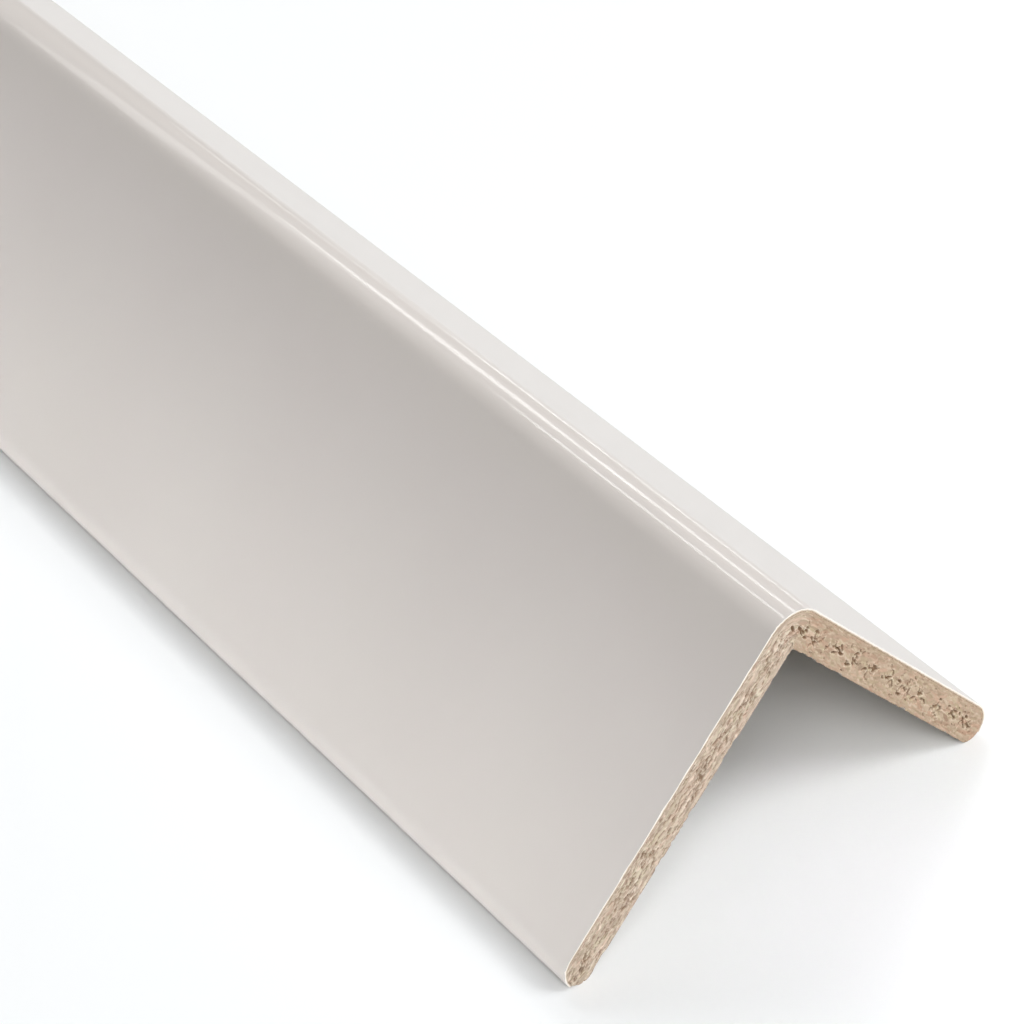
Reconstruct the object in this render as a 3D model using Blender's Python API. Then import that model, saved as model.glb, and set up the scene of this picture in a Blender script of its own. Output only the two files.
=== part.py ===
"""Corner moulding: a right-angled chipboard profile wrapped on its outer side in decor foil.

Metres, +Z up. The moulding lies like a tent on its two free edges, as photographed, with its
length along Y. The origin is on the floor under the middle of its box.

The profile is drawn in two directions that leave the virtual outer corner: u runs down the left
leg and v runs down the right leg, each at 45 degrees to the floor. Both legs have the same section,
so the right leg is the left one with u and v swapped.
"""

import math

import bmesh
import bpy
from mathutils import Vector

# Driving dimensions
LEG_WIDTH = 0.060           # outer width of each leg, over the foil
LENGTH = 0.300              # overall length
CORE_THICKNESS = 0.0056     # chipboard alone
FOIL_THICKNESS = 0.00035    # decor foil
GLUE_LINE = 0.00005         # room between foil and chipboard
CORNER_RADIUS = 0.006       # outer corner, over the foil
INNER_RADIUS = 0.0004       # inside of the angle
TIP_RADIUS = 0.0036         # outer side of each free edge, over the foil
NEAR_CUT_DEG = 4.4          # how far the near saw cut is off square, along the left leg

# Rounding is drawn with this many straight facets for each quarter turn
CORNER_FACETS = 20
TIP_FACETS = 12
INNER_FACETS = 4

# A rounded edge never takes up more than this share of the chipboard's thickness
TIP_SHARE_LIMIT = 0.8

# The saw's cutter reaches this far past the moulding on every side
CUTTER_MARGIN = 0.020

# Colours, as linear values
CHIPBOARD_COLOUR = (0.560, 0.430, 0.300, 1.0)
FOIL_COLOUR = (0.640, 0.610, 0.575, 1.0)

# Sizes worked out from the driving ones
SKIN = FOIL_THICKNESS + GLUE_LINE
TIP_OUTER = min(TIP_RADIUS - SKIN, TIP_SHARE_LIMIT * CORE_THICKNESS)
TIP_INNER = CORE_THICKNESS - TIP_OUTER
CORE_END = LEG_WIDTH - SKIN
TIP_MIDDLE = SKIN + TIP_OUTER


def clear_scene():
    """Remove whatever the scene holds."""
    for thing in list(bpy.data.objects):
        bpy.data.objects.remove(thing, do_unlink=True)


def new_collection(name):
    """Make a collection in the scene."""
    collection = bpy.data.collections.new(name)
    bpy.context.scene.collection.children.link(collection)
    return collection


def arc(centre, radius, start_deg, end_deg, facets):
    """Points on an arc about centre, in the (u, v) plane."""
    points = []
    for step in range(facets + 1):
        angle = math.radians(start_deg + (end_deg - start_deg) * step / facets)
        points.append((centre[0] + radius * math.cos(angle), centre[1] + radius * math.sin(angle)))
    return points


def other_leg(points):
    """The same points on the right leg, in the order that carries the outline on."""
    return [(v, u) for u, v in reversed(points)]


def outer_line(depth):
    """The outer surface sunk by depth, from the right tip's middle to the left tip's middle."""
    corner = arc((CORNER_RADIUS, CORNER_RADIUS), CORNER_RADIUS - depth, 180, 270, CORNER_FACETS)
    tip_centre = (CORE_END - TIP_OUTER, TIP_MIDDLE)
    tip = arc(tip_centre, TIP_OUTER + SKIN - depth, -90, 0, TIP_FACETS)
    return other_leg(tip) + corner + tip


def core_outline():
    """The chipboard's closed outline: outer line, left tip, inside of the angle, right tip."""
    inner_face = SKIN + CORE_THICKNESS
    tip = arc((CORE_END - TIP_INNER, TIP_MIDDLE), TIP_INNER, 0, 90, TIP_FACETS)[1:]
    fillet_centre = inner_face + INNER_RADIUS
    inside = arc((fillet_centre, fillet_centre), INNER_RADIUS, 270, 180, INNER_FACETS)
    return outer_line(SKIN) + tip + inside + other_leg(tip)


def foil_outline():
    """The foil's closed outline: its face, then its back in the other direction."""
    return outer_line(0.0) + outer_line(FOIL_THICKNESS)[::-1]


def depth_below_corner(point):
    """How far a profile point lies below the virtual outer corner."""
    return (point[0] + point[1]) / math.sqrt(2)


CORNER_HEIGHT = max(depth_below_corner(point) for point in core_outline() + foil_outline())


def to_world(point, y):
    """Profile point (u, v) at length y, in world coordinates."""
    across = (point[1] - point[0]) / math.sqrt(2)
    return Vector((across, y, CORNER_HEIGHT - depth_below_corner(point)))


def principled(name, colour, roughness):
    """A Principled material."""
    material = bpy.data.materials.new(name)
    material.use_nodes = True
    shader = material.node_tree.nodes["Principled BSDF"]
    shader.inputs["Base Color"].default_value = colour
    shader.inputs["Roughness"].default_value = roughness
    shader.inputs["Metallic"].default_value = 0.0
    return material


def extruded(name, outline, material, collection):
    """A prism of the outline along Y: a filled flat curve, extruded, then made a mesh."""
    curve = bpy.data.curves.new(name + "_outline", "CURVE")
    curve.dimensions = "2D"
    curve.fill_mode = "BOTH"
    curve.extrude = LENGTH / 2
    spline = curve.splines.new("POLY")
    spline.points.add(len(outline) - 1)
    for spline_point, profile_point in zip(spline.points, outline):
        place = to_world(profile_point, 0.0)
        spline_point.co = (place.x, place.z, 0.0, 1.0)
    spline.use_cyclic_u = True

    flat = bpy.data.objects.new(name + "_flat", curve)
    collection.objects.link(flat)
    flat.rotation_euler = (math.pi / 2, 0.0, 0.0)
    bpy.context.view_layer.update()
    evaluated = flat.evaluated_get(bpy.context.evaluated_depsgraph_get())
    mesh = bpy.data.meshes.new_from_object(evaluated)
    mesh.name = name

    piece = bpy.data.objects.new(name, mesh)
    piece.matrix_world = flat.matrix_world.copy()
    collection.objects.link(piece)
    bpy.data.objects.remove(flat, do_unlink=True)
    weld_and_face_out(mesh)
    mesh.materials.clear()
    mesh.materials.append(material)
    mesh.shade_smooth()
    mesh.set_sharp_from_angle(angle=math.radians(30))
    return piece


def weld_and_face_out(mesh):
    """Weld the caps to the sides and turn every face outwards."""
    solid = bmesh.new()
    solid.from_mesh(mesh)
    bmesh.ops.remove_doubles(solid, verts=solid.verts, dist=1e-6)
    bmesh.ops.recalc_face_normals(solid, faces=solid.faces)
    solid.to_mesh(mesh)
    solid.free()


def saw_cutter(collection):
    """A box whose back face is the near saw cut."""
    slant = math.tan(math.radians(NEAR_CUT_DEG))
    down_left_leg = Vector((-1, 0, -1)).normalized()
    on_cut = to_world((0.0, 0.0), -LENGTH / 2 + slant * LEG_WIDTH)
    outward = (Vector((0, -1, 0)) - slant * down_left_leg).normalized()
    width = 2 * (LEG_WIDTH + CUTTER_MARGIN)
    depth = slant * LEG_WIDTH + CUTTER_MARGIN

    bpy.ops.mesh.primitive_cube_add(size=1.0)
    cutter = bpy.context.active_object
    cutter.name = "saw_cut"
    for vertex in cutter.data.vertices:
        vertex.co.x *= width
        vertex.co.y *= width
        vertex.co.z *= depth
    cutter.rotation_mode = "QUATERNION"
    cutter.rotation_quaternion = outward.to_track_quat("Z", "Y")
    cutter.location = on_cut + outward * depth / 2
    cutter.display_type = "WIRE"
    cutter.hide_render = True
    for home in list(cutter.users_collection):
        home.objects.unlink(cutter)
    collection.objects.link(cutter)
    return cutter


def saw(piece, cutter):
    """Cut the piece with the saw cutter."""
    cut = piece.modifiers.new("near_saw_cut", "BOOLEAN")
    cut.operation = "DIFFERENCE"
    cut.solver = "EXACT"
    cut.object = cutter


def main():
    clear_scene()
    moulding = new_collection("corner_moulding")
    cutters = new_collection("cutters")
    chipboard = principled("moulded_chipboard", CHIPBOARD_COLOUR, 0.85)
    foil = principled("decor_foil", FOIL_COLOUR, 0.22)
    cutter = saw_cutter(cutters)
    saw(extruded("chipboard_core", core_outline(), chipboard, moulding), cutter)
    saw(extruded("foil_wrap", foil_outline(), foil, moulding), cutter)


main()
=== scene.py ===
# %% [markdown]
# # A corner moulding: chipboard wrapped in glossy foil
#
# The real thing is a right-angled profile pressed from wood chips and glue, with a thin decor foil
# stretched over its outer side. Two things carry the likeness. One is the long, calm, glossy outside
# with bright lines along the rounded corner. The other is the sawn end, where every chip and every
# hole between the chips shows.
#
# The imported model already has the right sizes. It is loaded first, and every surface made below
# takes its place from it.

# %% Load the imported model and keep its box
import math

import bmesh
import bpy
import numpy as np
from mathutils import Matrix, Quaternion, Vector


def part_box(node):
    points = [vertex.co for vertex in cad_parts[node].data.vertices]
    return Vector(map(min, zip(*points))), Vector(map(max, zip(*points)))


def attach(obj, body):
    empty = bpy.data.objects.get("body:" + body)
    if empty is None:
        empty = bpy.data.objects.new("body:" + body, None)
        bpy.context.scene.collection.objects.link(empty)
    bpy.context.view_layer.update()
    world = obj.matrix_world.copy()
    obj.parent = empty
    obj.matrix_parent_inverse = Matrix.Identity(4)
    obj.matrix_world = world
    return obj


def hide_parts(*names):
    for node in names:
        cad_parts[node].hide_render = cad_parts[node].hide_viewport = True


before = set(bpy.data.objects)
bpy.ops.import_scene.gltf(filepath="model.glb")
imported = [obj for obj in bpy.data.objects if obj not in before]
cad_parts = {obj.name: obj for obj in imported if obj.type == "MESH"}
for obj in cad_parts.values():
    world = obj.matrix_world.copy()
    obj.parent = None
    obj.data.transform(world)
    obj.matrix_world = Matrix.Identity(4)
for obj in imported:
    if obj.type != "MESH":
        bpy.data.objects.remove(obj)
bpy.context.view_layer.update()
foil_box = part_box("foil_wrap")
MM = 0.001

# %% [markdown]
# ## The section
#
# The section is drawn in two directions that leave the point where the outer faces would meet: u runs
# down the left leg and v runs down the right leg. Both slope at 45 degrees to the floor, so a right
# angle stands like a tent. All the sizes here are in millimetres, because that is how a joiner reads
# them, and they turn to metres only when the mesh is made.
#
# The leg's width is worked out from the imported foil's box, and the rest are the same sizes that the
# solid was drawn with.

# %% Sizes of the section, in millimetres
SKIN = 0.40                 # foil and glue together
CORE = 5.60                 # chipboard alone
CORNER_RADIUS = 6.0         # outer corner, over the foil
INNER_RADIUS = 0.4          # inside of the angle
TIP_OUTER = 3.2             # free edge of the chipboard, outer side
TIP_INNER = CORE - TIP_OUTER
NEAR_CUT_DEG = 4.4          # the near saw cut leans this far along the left leg

ROOT2 = math.sqrt(2)
HALF_WIDTH = foil_box[1].x / MM
TIP_MIDDLE = SKIN + TIP_OUTER
LEG = (HALF_WIDTH - TIP_MIDDLE) * ROOT2 + 2 * TIP_MIDDLE
CORNER_HEIGHT = foil_box[1].z / MM + CORNER_RADIUS * (ROOT2 - 1)
NEAR_Y = foil_box[0].y / MM
FAR_Y = foil_box[1].y / MM
CORE_END = LEG - SKIN
INNER_FACE = SKIN + CORE
print("leg width", round(LEG, 3), "corner height", round(CORNER_HEIGHT, 3))


# %% [markdown]
# Each surface is first worked out in the section's own millimetres, and one function stands its points
# up in the world. The near saw cut isn't quite square, so its place along the length depends on u.

# %% From the section to the world
def to_world(u, v, y):
    """Section point (u, v) at length y, in metres: across is (v - u), down is (u + v), each over root 2."""
    across = (v - u) / ROOT2
    height = CORNER_HEIGHT - (u + v) / ROOT2
    return np.stack([across, np.broadcast_to(y, across.shape), height], axis=-1) * MM


def near_cut(u):
    """Where the slanted near cut stands along the length, for a section point's u."""
    return NEAR_Y + math.tan(math.radians(NEAR_CUT_DEG)) * (LEG - u)


def far_cut(u):
    """The far end is sawn square."""
    return np.full_like(u, FAR_Y)


def smoothstep(x, low, high):
    """0 below low, 1 above high, and a smooth S between them."""
    t = np.clip((x - low) / (high - low), 0.0, 1.0)
    return t * t * (3 - 2 * t)


print("near cut: y", round(near_cut(LEG), 2), "at the left edge,", round(near_cut(0.0), 2), "at the corner")


# %% [markdown]
# ## The camera
#
# The photograph was matched with a pinhole camera: its place was solved from the cut end's outline
# and from the two long edges. It looks down on the near end from the left, with a long lens, so the
# legs stay almost parallel while the moulding still shrinks towards its far end.

# %% Camera
CAMERA_PLACE = Vector((-230.47, -378.61, 312.59)) * MM
CAMERA_AZIMUTH = 38.094     # degrees from the moulding's own direction
CAMERA_DOWN = 37.905        # degrees below the horizon
CAMERA_ROLL = 0.968         # degrees, anticlockwise
CAMERA_LENS = 112.09        # focal length in millimetres
SENSOR_WIDTH = 36.0


def add_camera():
    """A camera from its azimuth, its tilt and its roll."""
    data = bpy.data.cameras.new("photo_camera")
    data.sensor_width = SENSOR_WIDTH
    data.lens = CAMERA_LENS
    data.clip_start = 0.01
    camera = bpy.data.objects.new("photo_camera", data)
    bpy.context.scene.collection.objects.link(camera)
    azimuth, down = math.radians(CAMERA_AZIMUTH), math.radians(CAMERA_DOWN)
    level = math.cos(down)
    forward = Vector((math.sin(azimuth) * level, math.cos(azimuth) * level, -math.sin(down)))
    roll = Quaternion((0, 0, 1), math.radians(CAMERA_ROLL))
    camera.rotation_mode = "QUATERNION"
    camera.rotation_quaternion = forward.to_track_quat("-Z", "Y") @ roll
    camera.location = CAMERA_PLACE
    bpy.context.scene.camera = camera


add_camera()
print("camera in mm:", [round(value / MM, 1) for value in CAMERA_PLACE], "lens", CAMERA_LENS)


# %% [markdown]
# ## Two rails
#
# The chipboard's sawn faces and its long walls hang between two rails. The outer rail follows the
# outer side from one free edge to the other, and the inner rail follows the inside of the angle. Both
# have the same number of points, so a straight line from rail to rail crosses the leg. A bevelled
# extrusion would give the same outline, but not this grid, which carries the chips round the corner.

# %% Runs that make up a rail
def arc(centre, radius, start_deg, end_deg, steps):
    """Points at equal angles: centre plus radius times (cos, sin). The last is left for the next run."""
    angle = np.radians(np.linspace(start_deg, end_deg, steps, endpoint=False))
    return np.stack([centre[0] + radius * np.cos(angle), centre[1] + radius * np.sin(angle)], axis=-1)


def straight(start, end, steps):
    """Points at equal distances from start up to end, which is left for the next run."""
    t = np.linspace(0, 1, steps, endpoint=False)[:, None]
    return np.asarray(start) * (1 - t) + np.asarray(end) * t


def mirrored(points):
    """The same run on the other leg: u and v swapped, in the opposite order."""
    return points[::-1, ::-1]


def whole_rail(tip, leg, corner, middle_steps):
    """Left tip, left leg and half of the corner, then the same mirrored, sharing the middle point."""
    half = np.concatenate([tip, leg, corner[: middle_steps // 2 + 1]])
    return np.concatenate([half, mirrored(half)[1:]])


# %% Outer and inner rail
def outer_rail(depth, tip_steps, leg_steps, corner_steps):
    """The outer line sunk by depth below the foil's face, from the left tip's middle to the right one's."""
    tip_u = CORE_END - TIP_OUTER
    tip = arc((tip_u, TIP_MIDDLE), TIP_OUTER + SKIN - depth, 0, -90, tip_steps)
    leg = straight((tip_u, depth), (CORNER_RADIUS, depth), leg_steps)
    corner = arc((CORNER_RADIUS, CORNER_RADIUS), CORNER_RADIUS - depth, 270, 180, corner_steps)
    return whole_rail(tip, leg, corner, corner_steps)


def inner_rail(tip_steps, leg_steps, corner_steps):
    """The line inside the angle, with as many points as the outer rail."""
    tip_u = CORE_END - TIP_INNER
    fillet = INNER_FACE + INNER_RADIUS
    tip = arc((tip_u, TIP_MIDDLE), TIP_INNER, 0, 90, tip_steps)
    leg = straight((tip_u, INNER_FACE), (fillet, INNER_FACE), leg_steps)
    corner = arc((fillet, fillet), INNER_RADIUS, 270, 180, corner_steps)
    return whole_rail(tip, leg, corner, corner_steps)


print("the rails start at u, v", outer_rail(SKIN, 4, 4, 4)[0], "and", inner_rail(4, 4, 4)[0])


# %% [markdown]
# ## Meshes from whole arrays
#
# Every piece is a grid of points worked out at once, and its faces are index arrays. Where two grids
# meet they hold the same points, and merging those points closes the solid.

# %% Quads of a grid
def grid_quads(rows, columns, start=0, wrap=False):
    """Quads of a grid whose points are stored row by row; wrap joins the last column to the first."""
    index = np.arange(rows * columns).reshape(rows, columns) + start
    if wrap:
        index = np.concatenate([index, index[:, :1]], axis=1)
    return np.stack([index[:-1, :-1], index[:-1, 1:], index[1:, 1:], index[1:, :-1]], axis=-1).reshape(-1, 4)


# %% [markdown]
# A mesh can carry numbers on its points. The chips' tones travel that way, so the material can read
# them and no picture is needed.

# %% Make a mesh object
def make_piece(name, points, quads, attributes=None):
    """A mesh object from points in metres and quads; attributes are one number or vector for each point."""
    mesh = bpy.data.meshes.new(name)
    mesh.from_pydata(points.reshape(-1, 3).tolist(), [], quads.tolist())
    for key, values in (attributes or {}).items():
        kind = "FLOAT" if values.ndim == 1 else "FLOAT_VECTOR"
        slot = mesh.attributes.new(key, kind, "POINT")
        slot.data.foreach_set("value" if kind == "FLOAT" else "vector", values.astype(np.float32).ravel())
    piece = bpy.data.objects.new(name, mesh)
    bpy.context.scene.collection.objects.link(piece)
    return piece


# %% [markdown]
# Shading is smooth over the rounded edges and breaks where two faces meet sharply. The open edges are
# counted each time, because a closed piece must have none.

# %% Close and smooth a piece
MERGE = 2e-7                # metres


def close_and_smooth(piece, sharp_deg):
    """Merge the points that grids share, drop collapsed faces, face outwards and keep sharp edges sharp."""
    work = bmesh.new()
    work.from_mesh(piece.data)
    bmesh.ops.remove_doubles(work, verts=work.verts, dist=MERGE)
    bmesh.ops.dissolve_degenerate(work, edges=work.edges, dist=MERGE)
    bmesh.ops.recalc_face_normals(work, faces=work.faces)
    open_edges = sum(1 for edge in work.edges if len(edge.link_faces) != 2)
    volume = work.calc_volume(signed=True)
    work.to_mesh(piece.data)
    work.free()
    piece.data.shade_smooth()
    piece.data.set_sharp_from_angle(angle=math.radians(sharp_deg))
    triangles = sum(len(face.vertices) - 2 for face in piece.data.polygons)
    print(piece.name, "triangles", triangles, "open edges", open_edges, "cm3", round(volume * 1e6, 2))


# %% [markdown]
# ## The chips
#
# A pressed board is made of flat slivers of wood that lie along its faces. Sawn across, each sliver
# shows as a thin streak. The outer layers are made of finer chips than the middle, and the holes
# between chips gather in the middle.
#
# The cut face could be a noise texture, but noise has no overlaps. So the chips are laid one over
# another on a small raster in the board's own coordinates: s runs along the legs and round the
# corner, n runs from the outer side to the inside. Each chip leaves its tone and its level behind,
# and the last one wins. Holes are punched last.

# %% The raster of the board
RASTER = 0.055              # millimetres between raster points, finer than a chip is thick
LEG_START = (CORE / 2) * math.pi / 4    # s where the corner ends, on the middle of the board
REACH = LEG_START + (CORE_END - CORNER_RADIUS) + 0.5
S_COUNT = int(2 * REACH / RASTER) + 1
N_COUNT = int(CORE / RASTER) + 2
FINE_LAYER = 1.0            # thickness of each fine outer layer
LENS_POWER = 2.4            # above 2, so a chip's ends are blunter than an ellipse's
random = np.random.default_rng(27)
print("raster points along and across the board:", S_COUNT, N_COUNT)


def middle_share(n):
    """1 in the coarse middle of the board, 0 in its fine outer layers."""
    return smoothstep(np.minimum(n, CORE - n), FINE_LAYER * 0.5, FINE_LAYER * 1.5)


def mark(s, n, half_length, half_width, lean, bend):
    """A bent, leaning lens at (s, n).

    Gives the raster window it touches, and there 1 minus (x/a)^LENS_POWER minus (y/b)^2, above 0 inside.
    """
    reach = half_length + half_width + abs(bend)
    i0 = max(0, int((s - reach + REACH) / RASTER))
    i1 = min(S_COUNT, int((s + reach + REACH) / RASTER) + 2)
    j0 = max(0, int((n - reach) / RASTER))
    j1 = min(N_COUNT, int((n + reach) / RASTER) + 2)
    ds = np.arange(i0, i1)[:, None] * RASTER - REACH - s
    dn = np.arange(j0, j1)[None, :] * RASTER - n
    x = (ds * math.cos(lean) + dn * math.sin(lean)) / half_length
    y = (dn * math.cos(lean) - ds * math.sin(lean) + bend * x * x) / half_width
    return (slice(i0, i1), slice(j0, j1)), 1.0 - np.abs(x) ** LENS_POWER - y * y


# %% [markdown]
# The chips are laid in random order from one seed, so each run gives the same board. They are longer,
# wider and less level in the middle. Along the left leg their tones differ more from chip to chip.
# Each chip's rim gets a painted shade where it dips into a crevice, and it is darker along the left leg.

# %% Lay the chips
CHIP_COUNT = 9000
BED_LEVEL = -0.04           # millimetres, where no chip lies
CREVICE = 0.04              # how far a chip's rim dips
CHIP_LENGTH = 0.50          # middle value of a fine chip's half length
COARSE_LENGTH = 0.60        # what a chip in the middle of the board has more
LENGTH_SPREAD = 0.40
CHIP_TONE = 0.54
STREAK_TONE = 0.06          # what the left leg's tone has more
TONE_SPREAD = 0.07
STREAK_SPREAD = 0.08
# Painted shade: a chip's rim is drawn darker where it dips into a crevice, and more so along the left leg.
RIM_PAINTED_SHADE = 0.10            # how much darker a chip's rim is
STREAK_PAINTED_SHADE = 0.08
STREAK_START, STREAK_END = -1.0, 3.0    # s where the left leg's look gives way to the right one's


def streaky(s):
    """1 along the left leg, 0 along the right one: the saw left the left leg's chips in clearer streaks."""
    return 1.0 - smoothstep(s, STREAK_START, STREAK_END)


def lay_chips():
    """Tone, tint and level of overlapping chips: each covers what lies under it, and dips at its rim, which
    gets a painted shade.
    """
    tone = np.full((S_COUNT, N_COUNT), 0.5)
    tint = np.full((S_COUNT, N_COUNT), 0.5)
    level = np.full((S_COUNT, N_COUNT), BED_LEVEL)
    places = random.uniform([-REACH, 0.0], [REACH, CORE], (CHIP_COUNT, 2))
    for s, n in places:
        coarse, streak = float(middle_share(n)), float(streaky(s))
        half_length = random.lognormal(math.log(CHIP_LENGTH + COARSE_LENGTH * coarse), LENGTH_SPREAD)
        half_width = random.uniform(0.07, 0.12 + 0.22 * coarse)
        lean = random.normal(0.0, 0.08 + 0.20 * coarse)
        window, inside = mark(s, n, half_length, half_width, lean, random.normal(0.0, 0.12) * coarse)
        cover = inside > 0
        rim = 1.0 - smoothstep(inside, 0.0, 0.45)
        own_tone = random.normal(CHIP_TONE + STREAK_TONE * streak, TONE_SPREAD + STREAK_SPREAD * streak)
        # Painted shade along the rim, where the chip dips into a crevice.
        shaded = np.clip(own_tone, 0.12, 0.98) * (1.0 - (RIM_PAINTED_SHADE + STREAK_PAINTED_SHADE * streak) * rim)
        tone[window] = np.where(cover, shaded, tone[window])
        tint[window] = np.where(cover, random.uniform(0.0, 1.0), tint[window])
        level[window] = np.where(cover, random.uniform(-0.03, 0.0) - CREVICE * rim, level[window])
    return tone, tint, level


chip_tone, chip_tint, chip_level = lay_chips()
print("mean tone of the chips:", round(float(chip_tone.mean()), 3))

# %% [markdown]
# The holes are what catches the eye. In the middle of the board the chips are coarse and bend round
# one another, so short curved gaps gather in knots a few millimetres apart. Each gap is drawn dark
# with a painted shade. A chip that stands up beside a gap would catch the light, so the deeper gaps
# get a painted highlight: a cream rim.

# %% Place the holes
KNOT_PITCH = 5.0            # millimetres between knots of gaps along the right leg
KNOT_MARKS = 9              # gaps in a knot
SINGLE_MARKS = 110          # lone gaps along the right leg
STREAK_MARKS = 430          # fine gaps along the left leg
CRACK_COUNT = 260           # hairlines everywhere


def hole_places():
    """Rows of (s, n, half length, half width, lean, bend, depth): knots, lone gaps, streaks, hairlines."""
    knots = np.arange(2.0, REACH - 3, KNOT_PITCH)
    s = np.repeat(knots + random.normal(0, 0.6, len(knots)), KNOT_MARKS)
    count = len(s)
    knotted = np.stack([s + random.normal(0, 0.95, count), random.normal(CORE * 0.50, 0.55, count),
                        random.uniform(0.34, 0.75, count), random.uniform(0.16, 0.24, count),
                        random.uniform(-1.3, 1.3, count), random.normal(0, 0.24, count),
                        random.uniform(0.8, 1.0, count)], axis=-1)
    count = SINGLE_MARKS
    single = np.stack([random.uniform(-1.0, REACH, count), random.uniform(0.7, CORE - 0.6, count),
                       random.uniform(0.18, 0.50, count), random.uniform(0.07, 0.13, count),
                       random.uniform(-1.0, 1.0, count), random.normal(0, 0.10, count),
                       random.uniform(0.35, 0.8, count)], axis=-1)
    count = STREAK_MARKS
    streaks = np.stack([random.uniform(-REACH, 0.0, count), random.normal(CORE * 0.50, 1.15, count),
                        random.uniform(0.30, 0.85, count), random.uniform(0.07, 0.14, count),
                        random.normal(0, 0.22, count), random.normal(0, 0.08, count),
                        random.uniform(0.6, 1.0, count)], axis=-1)
    count = CRACK_COUNT
    cracks = np.stack([random.uniform(-REACH, REACH, count), random.uniform(0.3, CORE - 0.3, count),
                       random.uniform(0.2, 0.8, count), random.uniform(0.035, 0.07, count),
                       random.normal(0, 0.16, count), random.normal(0, 0.08, count),
                       random.uniform(0.25, 0.45, count)], axis=-1)
    return np.concatenate([knotted, single, streaks, cracks])


# %% [markdown]
# A hole has steep sides and a flat bottom, so its slope is cut off at its full depth. The cream rim, a
# painted highlight, is only drawn beside the deeper gaps.

# %% Punch the holes
HOLE_DEPTH = 0.34           # millimetres
HOLE_SLOPE = 2.6            # how fast a hole reaches its depth
EDGE_KEEP = 0.45            # millimetres without holes along both faces of the board
# Painted highlight: beside the deeper gaps the chips' tone is raised towards a pale cream rim.
PAINTED_RIM_HIGHLIGHT = 0.86
RIM_START, RIM_END = -2.2, -0.3     # where the light rim lies, as the lens function counts
RIM_HIGHLIGHT_SHARE = 0.75


def punch_holes(tone):
    """How far each place is hollowed, 0 to 1; beside the deeper gaps the tone rises as a painted highlight.
    """
    hole = np.zeros((S_COUNT, N_COUNT))
    for s, n, half_length, half_width, lean, bend, depth in hole_places():
        n = np.clip(n, EDGE_KEEP, CORE - EDGE_KEEP)
        window, inside = mark(s, n, half_length, half_width, lean, bend)
        hole[window] = np.maximum(hole[window], depth * np.clip(inside * HOLE_SLOPE, 0, 1))
        # The painted highlight: a cream rim beside each deeper gap.
        rim = smoothstep(inside, RIM_START, RIM_END) * (inside < 0) * depth * (depth > 0.5)
        tone[window] += np.maximum(PAINTED_RIM_HIGHLIGHT - tone[window], 0) * rim * RIM_HIGHLIGHT_SHARE
    return hole


chip_hole = punch_holes(chip_tone)
chip_level = chip_level - HOLE_DEPTH * smoothstep(chip_hole, 0.0, 1.0)
print("share of the sawn face that is holes:", round(float((chip_hole > 0.3).mean()), 4))


# %% [markdown]
# The mesh asks for the raster's values by section point, so two more functions are needed: one turns a
# section point into board coordinates, and one reads the raster there.

# %% Read the raster
def board_coordinates(u, v):
    """Board coordinates (s, n) of a section point: straight on the legs, an angle times radius between."""
    left, right = u >= CORNER_RADIUS, v >= CORNER_RADIUS
    du, dv = CORNER_RADIUS - u, CORNER_RADIUS - v
    turn = np.arctan2(du, np.maximum(dv, 1e-6)) - math.pi / 4
    s = np.where(left & ~right, -LEG_START - (u - CORNER_RADIUS), turn * CORE / 2)
    s = np.where(right & ~left, LEG_START + (v - CORNER_RADIUS), s)
    n = np.where(left, v - SKIN, np.where(right, u - SKIN, CORNER_RADIUS - SKIN - np.hypot(du, dv)))
    return s, np.clip(n, 0, CORE)


def sample(raster, s, n):
    """The raster's value at (s, n), blended between its four nearest points."""
    x = np.clip((s + REACH) / RASTER, 0, S_COUNT - 1.001)
    y = np.clip(n / RASTER, 0, N_COUNT - 1.001)
    i, j = x.astype(int), y.astype(int)
    fx, fy = x - i, y - j
    near = raster[i, j] * (1 - fx) + raster[i + 1, j] * fx
    far = raster[i, j + 1] * (1 - fx) + raster[i + 1, j + 1] * fx
    return near * (1 - fy) + far * fy


corner_s, corner_n = board_coordinates(np.array([SKIN]), np.array([SKIN]))
print("the core's outer corner is at s, n", round(float(corner_s[0]), 3), round(float(corner_n[0]), 3))


# %% [markdown]
# ## The chipboard
#
# The two sawn faces are fine grids between the rails, sunk by the chips' levels. A bump in the material
# could suggest that relief, but real depth also shows from the side and in the mesh itself. The
# relief fades out towards the rails, where the face meets the walls and the foil.

# %% Sawn face
ARRIS_KEEP = 0.25           # millimetres from a rail to where the relief is whole
ARRIS_RELIEF = 0.15         # share of the relief that is left on the rails


def between_rails(outer, inner, steps):
    """Points on straight lines from the outer rail to the inner one."""
    t = np.linspace(0, 1, steps + 1)[None, :, None]
    return outer[:, None, :] * (1 - t) + inner[:, None, :] * t


def sawn_face(outer, inner, steps, place, inward, flip):
    """A sawn face: place gives its plane along the length, and the chips' levels, 0 or less, sink it.

    inward is 1 or -1 along y. flip is -1 where the chips are read mirrored, so the two ends differ.
    """
    section = between_rails(outer, inner, steps)
    u, v = section[..., 0], section[..., 1]
    s, n = board_coordinates(u, v)
    s_read = np.clip(s * flip, -REACH, REACH)
    keep = smoothstep(np.minimum(n, CORE - n), 0.0, ARRIS_KEEP)
    level = sample(chip_level, s_read, n) * (ARRIS_RELIEF + (1 - ARRIS_RELIEF) * keep)
    y = place(u) - inward * level
    looks = [sample(chip_tone, s_read, n), sample(chip_tint, s_read, n), sample(chip_hole, s_read, n) * keep]
    return to_world(u, v, y), y, np.stack([s, n, np.zeros_like(s)], -1), np.stack(looks, -1)


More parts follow.
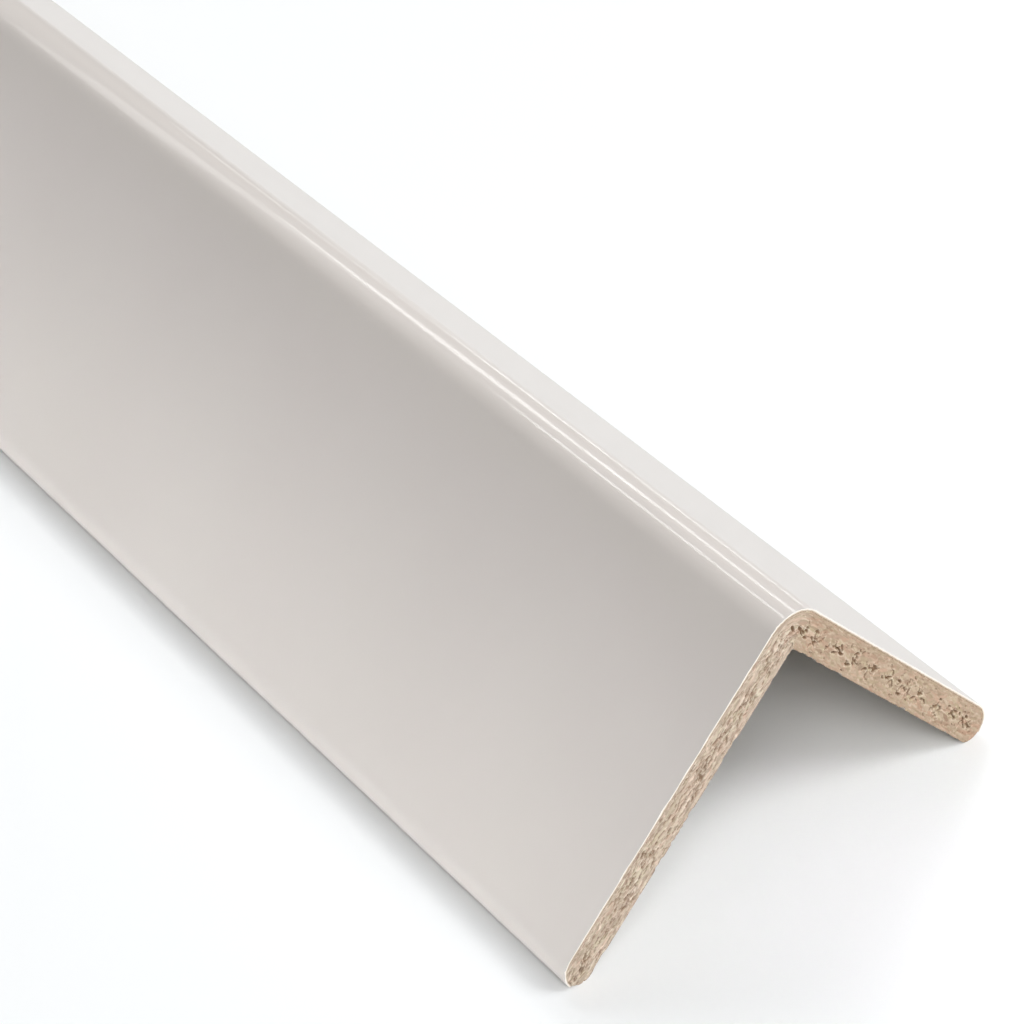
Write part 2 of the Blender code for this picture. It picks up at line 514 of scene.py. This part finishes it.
# %% [markdown]
# The saw leaves the inside of the angle unprotected, so chips break off its arris. The bites are a sum
# of random lines with knots at several pitches, of which only the upper part counts. They stop short of
# the free edges and of the inside corner, where the rail turns.

# %% Torn arris
TORN_DEPTH = 0.30           # millimetres that chips are torn off the inner arris
TORN_PITCHES = (0.5, 0.9, 1.7, 3.1)     # millimetres between knots
TORN_LIMIT = 1.6            # the sum of lines at which a bite is whole


def torn(inner, seed):
    """Depth of the bites along the inner rail: the summed lines between 0 and TORN_LIMIT, scaled."""
    waves = np.random.default_rng(seed)
    along = np.cumsum(np.r_[0, np.hypot(*np.diff(inner, axis=0).T)])
    bite = np.zeros(len(along))
    for length in TORN_PITCHES:
        knots = np.arange(0, along[-1] + 2 * length, length)
        bite += np.interp(along, knots, waves.uniform(-1, 1, len(knots)))
    bite = np.clip(bite, 0.0, TORN_LIMIT) / TORN_LIMIT * TORN_DEPTH
    ends = smoothstep(np.minimum(along, along[-1] - along), 3.0, 6.0)
    middle = smoothstep(np.abs(along - along[-1] / 2), 0.6, 1.5)
    return bite * ends * middle


def torn_rail(inner, seed):
    """The inner rail with its bites, which go into the wood at right angles to each leg."""
    into_wood = np.zeros_like(inner)
    into_wood[: len(inner) // 2, 1] = -1
    into_wood[len(inner) // 2 + 1:, 0] = -1
    return inner + into_wood * torn(inner, seed)[:, None]


# %% [markdown]
# The long walls share the rails' points. They have few rows along the length, because nothing happens
# there, but several close to each saw cut, so that the torn arris dies away within a few millimetres.

# %% Walls
WALL_ROWS = (0.3, 0.7, 1.4, 3.0, 8.0)   # millimetres from a saw cut
TORN_FADE = 0.8             # millimetres


def around(outer_values, inner_values):
    """A closed loop: along the outer rail, and back along the inner one without its two end points."""
    return np.concatenate([outer_values, inner_values[-2:0:-1]])


def wall_rows(plain_loop, torn_loop, cut, inward):
    """Rows beside a cut: the plain section and the torn one, mixed by exp(-distance / TORN_FADE)."""
    rows = []
    for distance in WALL_ROWS:
        fade = math.exp(-distance / TORN_FADE)
        rows.append((plain_loop * (1 - fade) + torn_loop * fade, cut + inward * distance))
    return rows


# %% [markdown]
# Now the piece is put together: near face, far face, walls. The sawn faces take the first material and
# the walls take the second.

# %% Chipboard piece
TIP_STEPS = 22
LEG_STEPS = 330
CORNER_STEPS = 64
NEAR_ACROSS = 50            # steps across the near sawn face
FAR_ACROSS = 24             # steps across the far one
SHARP_DEG = 50              # edges that turn more than this stay sharp


def make_chipboard():
    """Near sawn face, far sawn face and walls, which share the rails' points."""
    outer = outer_rail(SKIN, TIP_STEPS, LEG_STEPS, CORNER_STEPS)
    inner = inner_rail(TIP_STEPS, LEG_STEPS, CORNER_STEPS)
    near_inner = torn_rail(inner, 5)
    far_inner = torn_rail(inner, 6)
    near_points, near_y, near_board, near_looks = sawn_face(outer, near_inner, NEAR_ACROSS, near_cut, 1, 1.0)
    far_points, far_y, far_board, far_looks = sawn_face(outer, far_inner, FAR_ACROSS, far_cut, -1, -1.0)

    section_loop = around(outer, inner)
    near_loop = around(outer, near_inner)
    far_loop = around(outer, far_inner)
    rows = [(near_loop, around(near_y[:, 0], near_y[:, -1]))]
    rows += wall_rows(section_loop, near_loop, near_cut(section_loop[:, 0]), 1)
    rows += wall_rows(section_loop, far_loop, far_cut(section_loop[:, 0]), -1)[::-1]
    rows.append((far_loop, around(far_y[:, 0], far_y[:, -1])))
    walls = np.stack([to_world(row[:, 0], row[:, 1], y) for row, y in rows])

    near_count = near_points[..., 0].size
    far_count = far_points[..., 0].size
    columns = len(outer)
    # Turning the order of a quad's corners turns the face over, so all of them look outwards.
    quads = [
        grid_quads(columns, NEAR_ACROSS + 1),
        grid_quads(columns, FAR_ACROSS + 1, near_count)[:, ::-1],
        grid_quads(len(rows), len(section_loop), near_count + far_count, wrap=True)[:, ::-1],
    ]
    points = np.concatenate([near_points.reshape(-1, 3), far_points.reshape(-1, 3), walls.reshape(-1, 3)])
    plain = np.zeros((walls[..., 0].size, 3))
    board = np.concatenate([near_board.reshape(-1, 3), far_board.reshape(-1, 3), plain])
    looks = np.concatenate([near_looks.reshape(-1, 3), far_looks.reshape(-1, 3), plain])
    piece = make_piece("chipboard_body", points, np.concatenate(quads), {"chip": looks, "board": board})
    slots = np.zeros(sum(len(q) for q in quads), np.int32)
    slots[len(quads[0]) + len(quads[1]):] = 1
    piece.data.polygons.foreach_set("material_index", slots)
    close_and_smooth(piece, SHARP_DEG)
    return piece


chipboard = make_chipboard()

# %% [markdown]
# ## The foil
#
# The foil is a closed strip 0.4 mm thick that follows the outer rail round the corner and over the
# free edges. It is pressed on with rollers, so it is never quite flat: long, shallow waves along the
# length are what makes the highlights on a real moulding wander a little. At the sawn end its brittle
# edge is nicked.

# %% Roller waves
WAVE_HEIGHT = 0.012         # millimetres
WAVE_LENGTHS = (95.0, 57.0, 34.0, 21.0)


def roller_waves(s, y):
    """Waves in the foil's face: a sum of sines of y, each a little slanted, the longer the higher."""
    waves = np.random.default_rng(11)
    total = np.zeros(np.broadcast(s, y).shape)
    for length in WAVE_LENGTHS:
        phase, across = waves.uniform(0, 2 * math.pi), waves.uniform(0.02, 0.06)
        total += np.sin(2 * math.pi * y / length + phase + across * s) * length / WAVE_LENGTHS[0]
    return total * WAVE_HEIGHT / 2


# %% [markdown]
# Face and back are one loop of points. Its back stops a hair short of the chipboard, so that two faces
# never lie in one place and flicker. The first rows lie close together for the nicks in the cut edge.

# %% Foil piece
FOIL_TIP_STEPS = 14
FOIL_LEG_STEPS = 26
FOIL_CORNER_STEPS = 40
FOIL_ROWS = 150
FIRST_ROWS = (0, 0.001, 0.002, 0.004)   # shares of the length
CALM_SHARE = 0.02           # share of the length next to the near cut in which the waves set in
BACK_GAP = 0.012            # millimetres
FOIL_BACK = SKIN - BACK_GAP
NICK_DEPTH = 0.16
NICK_SPREAD = 0.45
FOIL_SHARP_DEG = 40


def make_foil():
    """Face and back as one loop carried along the length: each point runs straight from cut to cut."""
    face = outer_rail(0.0, FOIL_TIP_STEPS, FOIL_LEG_STEPS, FOIL_CORNER_STEPS)
    back = outer_rail(FOIL_BACK, FOIL_TIP_STEPS, FOIL_LEG_STEPS, FOIL_CORNER_STEPS)
    along = np.cumsum(np.r_[0, np.hypot(*np.diff(face, axis=0).T)])
    toward_back = (back - face) / FOIL_BACK
    share = np.concatenate([FIRST_ROWS, np.linspace(0.008, 0.996, FOIL_ROWS), [1.0]])[:, None]
    y_face = near_cut(face[:, 0]) * (1 - share) + FAR_Y * share
    y_back = near_cut(back[:, 0]) * (1 - share) + FAR_Y * share
    away_from_cut = smoothstep(share, 0.0, CALM_SHARE)
    sunk = (WAVE_HEIGHT + roller_waves(along, y_face) * away_from_cut) * away_from_cut
    moved = face + toward_back * sunk[..., None]
    nick = np.random.default_rng(3)
    nicks = np.clip(nick.normal(0, NICK_SPREAD, len(face)), 0, 1) * NICK_DEPTH
    face_points = to_world(moved[..., 0], moved[..., 1], y_face + nicks * (share == 0))
    back_points = to_world(*np.broadcast_arrays(back[:, 0], back[:, 1], y_back))
    loops = np.concatenate([face_points, back_points[:, ::-1]], axis=1)
    rows, columns, width = len(share), loops.shape[1], len(face)
    quads = [grid_quads(rows, columns, wrap=True)[:, ::-1]]
    for row, turn in ((0, 1), (rows - 1, -1)):
        first = row * columns
        top = np.arange(width) + first
        under = first + columns - 1 - np.arange(width)
        quads.append(np.stack([top[:-1], top[1:], under[1:], under[:-1]], axis=-1)[:, ::turn])
    depth = np.broadcast_to(np.arange(columns) >= width, (rows, columns)).astype(float)
    piece = make_piece("foil_skin", loops, np.concatenate(quads), {"depth": depth.ravel()})
    slots = np.zeros(sum(len(q) for q in quads), np.int32)
    slots[len(quads[0]):] = 1
    piece.data.polygons.foreach_set("material_index", slots)
    close_and_smooth(piece, FOIL_SHARP_DEG)
    return piece


foil = make_foil()


# %% [markdown]
# ## Colours and nodes
#
# Colours are written as they look on screen and turned to linear light by one function. One more
# function adds a node with its settings and its links, so that each material below reads like a recipe.

# %% Material helpers
def colour(hex_code):
    """sRGB hex to linear: divide by 12.92 when dark, otherwise the 2.4 power curve."""
    parts = [int(hex_code[i:i + 2], 16) / 255 for i in (1, 3, 5)]
    return tuple(c / 12.92 if c <= 0.04045 else ((c + 0.055) / 1.055) ** 2.4 for c in parts) + (1.0,)


def node(material, kind, settings=None, links=None):
    """A node of this kind, with its settings and its links.

    A setting is named by attribute or by socket, or it is a list of colour stops. A link is written as
    the socket it goes into and (node, output) where it comes from.
    """
    tree = material.node_tree
    new = tree.nodes.new(kind)
    for key, value in (settings or {}).items():
        if key == "stops":
            elements = new.color_ramp.elements
            while len(elements) < len(value):
                elements.new(0.5)
            for element, (place, hex_code) in zip(elements, value):
                element.position = place
                element.color = colour(hex_code)
        elif isinstance(key, str) and hasattr(new, key):
            setattr(new, key, value)
        else:
            new.inputs[key].default_value = value
    for socket, (source, output) in (links or {}).items():
        tree.links.new(source.outputs[output], new.inputs[socket])
    return new


def new_material(name, roughness, ior=1.45):
    """A material with one Principled shader, and that shader."""
    material = bpy.data.materials.new(name)
    material.use_nodes = True
    shader = material.node_tree.nodes["Principled BSDF"]
    shader.inputs["Roughness"].default_value = roughness
    shader.inputs["IOR"].default_value = ior
    return material, shader


print("mid grey #808080 is", round(colour("#808080")[0], 3), "in linear light")


# %% [markdown]
# ## Decor foil
#
# Melamine-faced decor foil, smooth rolled and lacquered: a hard, even, warm light grey with a clear
# gloss. To the eye it has no pattern at all, only a faint unevenness of its gloss and a very slight
# orange peel where the chips print through.

# %% Decor foil material
PEEL_PITCH = 2.2            # millimetres between bumps of chips that print through
PEEL_HEIGHT = 0.02          # millimetres
SHADE_PITCH = 55            # millimetres between the faint differences of gloss and shade
FOIL_STOPS = ((0.3, "#cbc5c0"), (0.7, "#cfc9c4"))


def decor_foil():
    """A slightly rough base under a thin clear coat, which draws the sharp lines on the corner."""
    material, shader = new_material("lacquered_decor_foil", 0.42, 1.5)
    shader.inputs["Specular IOR Level"].default_value = 0.20
    shader.inputs["Coat Weight"].default_value = 0.25
    shader.inputs["Coat Roughness"].default_value = 0.07
    links = material.node_tree.links
    place = node(material, "ShaderNodeTexCoord")
    peel = node(material, "ShaderNodeTexNoise",
                {"Scale": 1 / (PEEL_PITCH * MM), "Detail": 2.0, "Roughness": 0.4},
                {"Vector": (place, "Object")})
    shade = node(material, "ShaderNodeTexNoise", {"Scale": 1 / (SHADE_PITCH * MM), "Detail": 3.0},
                 {"Vector": (place, "Object")})
    tint = node(material, "ShaderNodeValToRGB", {"stops": FOIL_STOPS}, {"Fac": (shade, "Fac")})
    links.new(tint.outputs["Color"], shader.inputs["Base Color"])
    gloss = node(material, "ShaderNodeMapRange", {"To Min": 0.38, "To Max": 0.45}, {"Value": (shade, "Fac")})
    links.new(gloss.outputs["Result"], shader.inputs["Roughness"])
    bump = node(material, "ShaderNodeBump", {"Strength": 0.05, "Distance": PEEL_HEIGHT * MM},
                {"Height": (peel, "Fac")})
    links.new(bump.outputs["Normal"], shader.inputs["Normal"])
    return material


foil_face = decor_foil()
print(foil_face.name, "has", len(foil_face.node_tree.nodes), "nodes")


# %% [markdown]
# ## The foil's cut edge
#
# The saw opens the foil's paper under the lacquer: a hair of bright white at the face, then paper
# soaked with glue, which is nearly as brown as the wood. The mesh carries the depth as a number, 0 on
# the face and 1 on the back, so the colour can follow it.

# %% Foil edge material
FRAY_PITCH = 0.8            # millimetres between frayed fibres of the paper
FRAY = 0.25                 # how far they shift the colour's depth, as a share of the foil
EDGE_STOPS = ((0.0, "#f4efea"), (0.45, "#efe7dd"), (0.72, "#c9b8a3"), (1.0, "#b09b83"))


def cut_paper():
    """Matt paper, its colour a ramp over the depth plus a little noise."""
    material, shader = new_material("cut_paper_core", 0.7)
    depth = node(material, "ShaderNodeAttribute", {"attribute_name": "depth"})
    place = node(material, "ShaderNodeTexCoord")
    grain = node(material, "ShaderNodeTexNoise", {"Scale": 1 / (FRAY_PITCH * MM), "Detail": 2.0},
                 {"Vector": (place, "Object")})
    frayed = node(material, "ShaderNodeMapRange", {"To Min": -FRAY, "To Max": FRAY},
                  {"Value": (grain, "Fac")})
    mixed = node(material, "ShaderNodeMath", {"operation": "ADD"}, {0: (depth, "Fac"), 1: (frayed, "Result")})
    tint = node(material, "ShaderNodeValToRGB", {"stops": EDGE_STOPS}, {"Fac": (mixed, "Value")})
    material.node_tree.links.new(tint.outputs["Color"], shader.inputs["Base Color"])
    return material


foil_edge = cut_paper()
print(foil_edge.name, "has", len(foil_edge.node_tree.nodes), "nodes")


# %% [markdown]
# ## Sawn chipboard
#
# Spruce and pine chips bound with resin, sawn across: matt, warm tan, from cream where a chip is cut
# clean to brown where its end grain drinks the light. The chips' tones come from the raster, and a
# fine streaky noise along the board draws the fibres inside each chip. Fine pale sawdust is still
# rubbed into the left leg's face, which makes it lighter and greyer than the right one.

# %% Sawn chipboard material
FIBRE_PITCH = 0.35          # millimetres between fibre streaks, as coarse as the render needs to show them
FIBRE_STRETCH = 0.35        # a fibre streak is 1 / 0.35 times as long as it is wide
FIBRE_TONE = 0.07           # how far the fibres move a chip's tone
SAWN_RELIEF = 0.05          # millimetres
DUST = 0.14                 # share of pale sawdust left in the left leg's face
DUST_COLOUR = "#e3dfdb"
# Painted shade: the gaps between chips are drawn dark brown, for the shade that falls inside them.
PAINTED_HOLE_SHADE = "#75583d"
SAWN_STOPS = ((0.10, "#735f4c"), (0.35, "#9c8670"), (0.55, "#b7a18b"), (0.75, "#d0bea8"), (0.95, "#eee3d3"))
TINT_STOPS = ((0.0, "#fff0ec"), (0.5, "#ffffff"), (1.0, "#f8fbf0"))


def sawn_chipboard():
    """Tone plus fibres through a ramp, times the chip's tint, mixed with dust, then with the holes' painted
    shade.
    """
    material, shader = new_material("sawn_chipboard", 0.85)
    links = material.node_tree.links
    chip = node(material, "ShaderNodeAttribute", {"attribute_name": "chip"})
    look = node(material, "ShaderNodeSeparateXYZ", {}, {"Vector": (chip, "Vector")})
    board = node(material, "ShaderNodeAttribute", {"attribute_name": "board"})
    along = node(material, "ShaderNodeMapping", {"Scale": (FIBRE_STRETCH, 1.0, 1.0)},
                 {"Vector": (board, "Vector")})
    fibre = node(material, "ShaderNodeTexNoise", {"Scale": 1 / FIBRE_PITCH, "Detail": 3.0, "Roughness": 0.6},
                 {"Vector": (along, "Vector")})
    spread = node(material, "ShaderNodeMapRange",
                  {"From Min": 0.25, "From Max": 0.75, "To Min": -FIBRE_TONE, "To Max": FIBRE_TONE},
                  {"Value": (fibre, "Fac")})
    mixed = node(material, "ShaderNodeMath", {"operation": "ADD"}, {0: (look, "X"), 1: (spread, "Result")})
    wood = node(material, "ShaderNodeValToRGB", {"stops": SAWN_STOPS}, {"Fac": (mixed, "Value")})
    tint = node(material, "ShaderNodeValToRGB", {"stops": TINT_STOPS}, {"Fac": (look, "Y")})
    tinted = node(material, "ShaderNodeMix", {"data_type": "RGBA", "blend_type": "MULTIPLY", "Factor": 1.0},
                  {6: (wood, "Color"), 7: (tint, "Color")})
    where = node(material, "ShaderNodeSeparateXYZ", {}, {"Vector": (board, "Vector")})
    dust = node(material, "ShaderNodeMapRange",
                {"From Min": STREAK_START, "From Max": STREAK_END, "To Min": DUST, "To Max": 0.0},
                {"Value": (where, "X")})
    dusty = node(material, "ShaderNodeMix", {"data_type": "RGBA", 7: colour(DUST_COLOUR)},
                 {"Factor": (dust, "Result"), 6: (tinted, 2)})
    # Painted shade in the holes, as strong as each gap is hollowed.
    dark = node(material, "ShaderNodeMix", {"data_type": "RGBA", 7: colour(PAINTED_HOLE_SHADE)},
                {"Factor": (look, "Z"), 6: (dusty, 2)})
    links.new(dark.outputs[2], shader.inputs["Base Color"])
    bump = node(material, "ShaderNodeBump", {"Strength": 0.4, "Distance": SAWN_RELIEF * MM},
                {"Height": (mixed, "Value")})
    links.new(bump.outputs["Normal"], shader.inputs["Normal"])
    return material


board_end = sawn_chipboard()
print(board_end.name, "has", len(board_end.node_tree.nodes), "nodes")


# %% [markdown]
# ## Pressed chipboard face
#
# The inside of the angle comes from the press and a light sanding: the chips lie flat, so they show
# as a closed mosaic of small pale flakes, with a few darker ones of bark.

# %% Pressed chipboard material
FLAKE = 1.6                 # millimetres across a surface flake
WARP_PITCH = 3.5            # millimetres between bends that keep the flakes from looking like tiles
WARP_SHARE = 0.0016
FLAKE_RELIEF = 0.03         # millimetres
FLAKE_STOPS = ((0.02, "#9c9082"), (0.15, "#bdb1a4"), (0.45, "#cfc5b9"), (0.75, "#d9d0c6"), (0.98, "#e3dcd3"))


def pressed_chipboard():
    """Large and small cells of random grey, added 7 to 3, through a ramp of pale wood colours."""
    material, shader = new_material("pressed_chipboard", 0.78)
    links = material.node_tree.links
    place = node(material, "ShaderNodeTexCoord")
    warp = node(material, "ShaderNodeTexNoise", {"Scale": 1 / (WARP_PITCH * MM), "Detail": 2.0},
                {"Vector": (place, "Object")})
    shifted = node(material, "ShaderNodeMix", {"data_type": "VECTOR", "Factor": WARP_SHARE},
                   {4: (place, "Object"), 5: (warp, "Color")})
    longer = node(material, "ShaderNodeMapping", {"Scale": (1.0, 0.45, 1.0)}, {"Vector": (shifted, 1)})
    flakes = node(material, "ShaderNodeTexVoronoi", {"Scale": 1 / (FLAKE * MM), "Randomness": 1.0},
                  {"Vector": (longer, "Vector")})
    small = node(material, "ShaderNodeTexVoronoi", {"Scale": 2.6 / (FLAKE * MM)}, {"Vector": (shifted, 1)})
    grey = node(material, "ShaderNodeSeparateColor", {}, {"Color": (flakes, "Color")})
    fine = node(material, "ShaderNodeSeparateColor", {}, {"Color": (small, "Color")})
    larger = node(material, "ShaderNodeMath", {"operation": "MULTIPLY", 1: 0.7}, {0: (grey, "Red")})
    both = node(material, "ShaderNodeMath", {"operation": "MULTIPLY_ADD", 1: 0.3},
                {0: (fine, "Red"), 2: (larger, "Value")})
    wood = node(material, "ShaderNodeValToRGB", {"stops": FLAKE_STOPS}, {"Fac": (both, "Value")})
    links.new(wood.outputs["Color"], shader.inputs["Base Color"])
    bump = node(material, "ShaderNodeBump", {"Strength": 0.35, "Distance": FLAKE_RELIEF * MM},
                {"Height": (both, "Value")})
    links.new(bump.outputs["Normal"], shader.inputs["Normal"])
    return material


board_face = pressed_chipboard()
print(board_face.name, "has", len(board_face.node_tree.nodes), "nodes")

# %% [markdown]
# ## Dressing
#
# Each piece gets its two materials. The lines after them hang it on the model's root, which it moves
# with, and hide the imported pieces that it stands for.

# %% Dress the pieces
foil.data.materials.append(foil_face)
foil.data.materials.append(foil_edge)
chipboard.data.materials.append(board_end)
chipboard.data.materials.append(board_face)
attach(chipboard, "root")
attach(foil, "root")
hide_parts("chipboard_core")
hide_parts("foil_wrap")
for piece in (chipboard, foil):
    print(piece.name, "wears", [material.name for material in piece.data.materials])

# %% [markdown]
# ## Floor
#
# The moulding lies on white paper that runs on out of view. The floor is only a stage: it isn't part
# of the moulding.

# %% Floor
FLOOR_SIZE = 6.0            # metres
PAPER_COLOUR = "#f0f2f3"


def add_floor():
    """A flat square of white paper at the height the moulding rests on."""
    half = FLOOR_SIZE / 2
    corners = np.array([[-half, -half, 0], [half, -half, 0], [half, half, 0], [-half, half, 0]], float)
    floor = make_piece("paper_floor", corners, np.array([[0, 1, 2, 3]]))
    material, shader = new_material("white_paper", 0.9)
    shader.inputs["Base Color"].default_value = colour(PAPER_COLOUR)
    floor.data.materials.append(material)


add_floor()
print("floor", FLOOR_SIZE, "m square")

# %% [markdown]
# ## Light
#
# A long glossy shape is lit by what it mirrors as much as by what shines on it, so there are three
# kinds of lamp here. Soft boxes light the whole moulding. Gridded lamps light one small place each.
# Hoops of narrow strips hang behind the moulding: they give it little light, but its rounded corner
# mirrors each of them as a thin bright line.
#
# A lamp's place is given as azimuth and elevation seen from the middle of the moulding. Azimuth 0 is
# the far end's direction and 90 is the right.

# %% Lamp helper
LAMP_CENTRE = Vector((0.0, -0.05, 0.02))


def toward(azimuth, elevation, distance, centre=LAMP_CENTRE):
    """The point at this azimuth and elevation, in degrees, and at this distance from the centre."""
    a, e = math.radians(azimuth), math.radians(elevation)
    return centre + Vector((math.sin(a) * math.cos(e), math.cos(a) * math.cos(e), math.sin(e))) * distance


def add_lamp(name, place, aim, width, height, radiance, side=None, spread=180.0):
    """An area lamp that faces aim, its width along side. Its power is pi times area times radiance."""
    data = bpy.data.lights.new(name, "AREA")
    data.shape = "RECTANGLE"
    data.size, data.size_y = width, height
    data.spread = math.radians(spread)
    data.energy = math.pi * width * height * radiance
    lamp = bpy.data.objects.new(name, data)
    away = (place - aim).normalized()
    across = side or Vector((0, 0, 1)).cross(away)
    across = (across - away * across.dot(away)).normalized()
    lamp.location = place
    lamp.rotation_mode = "QUATERNION"
    lamp.rotation_quaternion = Matrix((across, away.cross(across), away)).transposed().to_quaternion()
    lamp.visible_camera = False
    bpy.context.scene.collection.objects.link(lamp)


print("lamps look at", [round(value / MM, 1) for value in LAMP_CENTRE])

# %% [markdown]
# Three boxes in front light the sawn end, the inside of the angle and the paper before it. The weaker
# ones at the sides and behind set how light each long face is, and the strip on the right throws the
# short shade beside the left edge.

# %% Soft boxes
SOFT_BOXES = {
    # name: azimuth, elevation, distance, width, height in metres, radiance
    "box_front_low": (180, 25, 1.2, 0.3, 0.6, 5.9),
    "box_front_left": (222, 45, 1.2, 0.5, 0.5, 6.0),
    "box_front_right": (138, 45, 1.2, 0.5, 0.5, 8.7),
    "box_top_right": (90, 65, 1.2, 1.2, 0.3, 0.3),
    "strip_right": (90, 44, 1.0, 1.0, 0.08, 4.2),
    "box_left": (270, 30, 0.9, 1.2, 0.25, 0.2),
    "box_back_left": (318, 25, 0.9, 0.6, 0.25, 0.95),
    "box_back": (0, 40, 1.2, 0.6, 0.4, 0.8),
}
for lamp_name, (azimuth, elevation, distance, width, height, radiance) in SOFT_BOXES.items():
    add_lamp(lamp_name, toward(azimuth, elevation, distance), LAMP_CENTRE, width, height, radiance)
print(len(SOFT_BOXES), "soft boxes")

# %% [markdown]
# A honeycomb grid in front of a lamp narrows its beam, and Blender has a spread angle for that. One
# gridded strip lies almost on the floor to the left. It washes the lower part of the left face and
# leaves its upper edge dark. A small gridded spot from the front right lights the paper just outside
# the opening.

# %% Gridded lamps
FOOT = Vector((foil_box[0].x + 3 * MM, 0.142, 4 * MM))
OPENING = Vector((0.014, -0.182, 0.0))
GRIDDED = {
    # name: place as seen from its aim, aim, width, height, spread in degrees, radiance
    "grid_left": ((-0.41, 0.0, 0.012), FOOT, 0.615, 0.02, 12, 1.30),
    "grid_opening": ((0.21, -0.37, 0.42), OPENING, 0.06, 0.05, 8, 0.26),
}
for lamp_name, (offset, aim, width, height, spread, radiance) in GRIDDED.items():
    add_lamp(lamp_name, aim + Vector(offset), aim, width, height, radiance, spread=spread)
print(len(GRIDDED), "gridded lamps")

# %% [markdown]
# Where a line shows on the corner follows from the mirror rule: the way in and the way out make equal
# angles with the surface. Each bend of a hoop is the direction that one point of a line in the
# photograph mirrors, and straight strips join the bends.

# %% Hoops behind the moulding
HOOP_CENTRE = Vector((0.0, -0.05, 0.03))
HOOP_RADIUS = 1.0           # metres
HOOPS = {
    # name: (azimuth, elevation) of its bends, the strips' width, radiance
    "hoop_near": (((58, 41), (51, 38.5), (45, 36), (38, 37), (29, 38.5)), 0.12, 13.5),
    "hoop_far": (((29, 38.5), (16, 39.5), (6, 40), (-8, 37.5)), 0.09, 5.4),
    "hoop_high": (((20.5, 62), (17, 57), (14, 51)), 0.09, 18.0),
    "hoop_low_near": (((63, 1.5), (54, 2), (50, 5)), 0.055, 9.5),
    "hoop_low_far": (((50, 5), (44, 9.5), (39, 13)), 0.055, 3.8),
}
for hoop_name, (bends, width, radiance) in HOOPS.items():
    ends = [toward(azimuth, elevation, HOOP_RADIUS, HOOP_CENTRE) for azimuth, elevation in bends]
    for number, (start, end) in enumerate(zip(ends, ends[1:])):
        middle = (start + end) / 2
        strip = end - start
        add_lamp(f"{hoop_name}_{number}", middle, HOOP_CENTRE, strip.length, width, radiance, side=strip)


# %% [markdown]
# The room itself is nearly dark, so that the shades keep their depth. The Standard view shows colours
# as they are, without a film curve, which suits a product on white paper.

# %% World and view
WORLD_STRENGTH = 0.06


def add_world():
    """An even, weak light from all around."""
    world = bpy.data.worlds.new("dim_room")
    world.use_nodes = True
    background = world.node_tree.nodes["Background"]
    background.inputs["Color"].default_value = colour("#ffffff")
    background.inputs["Strength"].default_value = WORLD_STRENGTH
    bpy.context.scene.world = world


add_world()
bpy.context.scene.view_settings.view_transform = "Standard"
print("view:", bpy.context.scene.view_settings.view_transform, "world strength", WORLD_STRENGTH)
